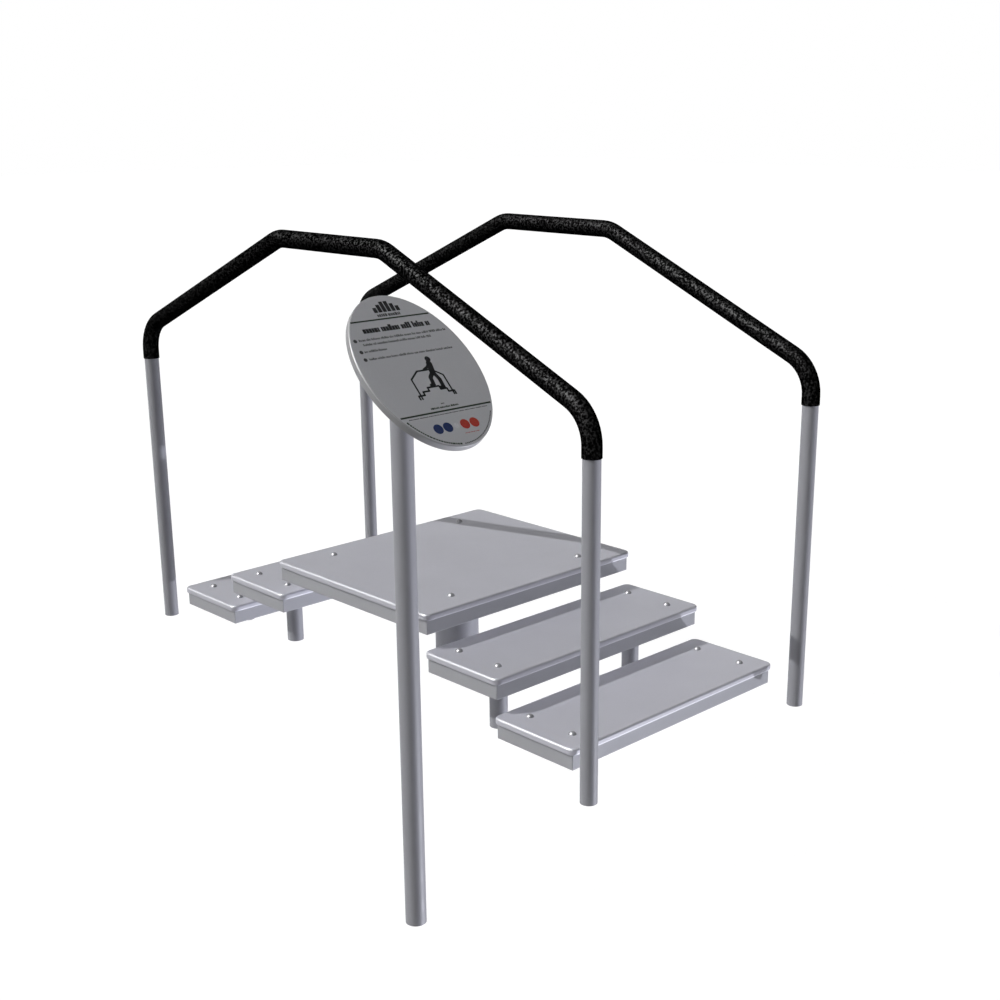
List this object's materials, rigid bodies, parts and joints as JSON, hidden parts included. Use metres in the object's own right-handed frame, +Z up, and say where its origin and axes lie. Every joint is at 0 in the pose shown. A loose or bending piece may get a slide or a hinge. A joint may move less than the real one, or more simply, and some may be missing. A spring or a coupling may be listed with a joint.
{
  "type": "step trainer",
  "caption": "Outdoor step trainer: low treads climb to a square platform and down again between two bent handrails with grip sleeves, beside a tilted oval sign on a post.",
  "frame": {"origin": "middle of the platform pedestal's foot, on the ground", "axes": "+X across the treads from the left handrail (the sign's side) to the right one, +Y in the walking direction from the near end, which the sign faces, to the far end, +Z up"},
  "size_m": [1.5769, 2.135, 1.2459],
  "materials": {
    "tread_board": "satin grey board with rounded edges",
    "frame_coat": "satin silver-grey powder coat",
    "post_coat": "satin silver-grey powder coat",
    "zinc": "satin zinc plate",
    "grip": "black, coarse crinkle texture",
    "sign_face": null
  },
  "bodies": {
    "root": {"near_low_step_board": "tread_board", "near_low_step_frame_near": "frame_coat", "near_low_step_frame_far": "frame_coat", "near_low_step_frame_left": "frame_coat", "near_low_step_frame_right": "frame_coat", "near_low_step_bolts": "zinc", "near_low_step_nuts": "zinc", "near_mid_step_board": "tread_board", "near_mid_step_frame_near": "frame_coat", "near_mid_step_frame_far": "frame_coat", "near_mid_step_frame_left": "frame_coat", "near_mid_step_frame_right": "frame_coat", "near_mid_step_bolts": "zinc", "near_mid_step_nuts": "zinc", "platform_board": "tread_board", "platform_frame_near": "frame_coat", "platform_frame_far": "frame_coat", "platform_frame_left": "frame_coat", "platform_frame_right": "frame_coat", "platform_bolts": "zinc", "platform_nuts": "zinc", "far_mid_step_board": "tread_board", "far_mid_step_frame_near": "frame_coat", "far_mid_step_frame_far": "frame_coat", "far_mid_step_frame_left": "frame_coat", "far_mid_step_frame_right": "frame_coat", "far_mid_step_bolts": "zinc", "far_mid_step_nuts": "zinc", "far_low_step_board": "tread_board", "far_low_step_frame_near": "frame_coat", "far_low_step_frame_far": "frame_coat", "far_low_step_frame_left": "frame_coat", "far_low_step_frame_right": "frame_coat", "far_low_step_bolts": "zinc", "far_low_step_nuts": "zinc", "near_low_step_saddle_plates": "frame_coat", "near_low_step_left_post": "post_coat", "near_low_step_right_post": "post_coat", "near_mid_step_saddle_plates": "frame_coat", "near_mid_step_left_post": "post_coat", "near_mid_step_right_post": "post_coat", "far_mid_step_saddle_plates": "frame_coat", "far_mid_step_left_post": "post_coat", "far_mid_step_right_post": "post_coat", "far_low_step_saddle_plates": "frame_coat", "far_low_step_left_post": "post_coat", "far_low_step_right_post": "post_coat", "platform_cross_rails": "frame_coat", "platform_beams": "frame_coat", "pedestal_head_plate": "frame_coat", "pedestal_tube": "post_coat", "left_handrail": "post_coat", "left_grip_sleeve": "grip", "right_handrail": "post_coat", "right_grip_sleeve": "grip", "sign_post": "post_coat", "sign_bracket": "frame_coat", "sign_panel": "sign_face", "sign_screws": "zinc"}
  },
  "joints": []
}
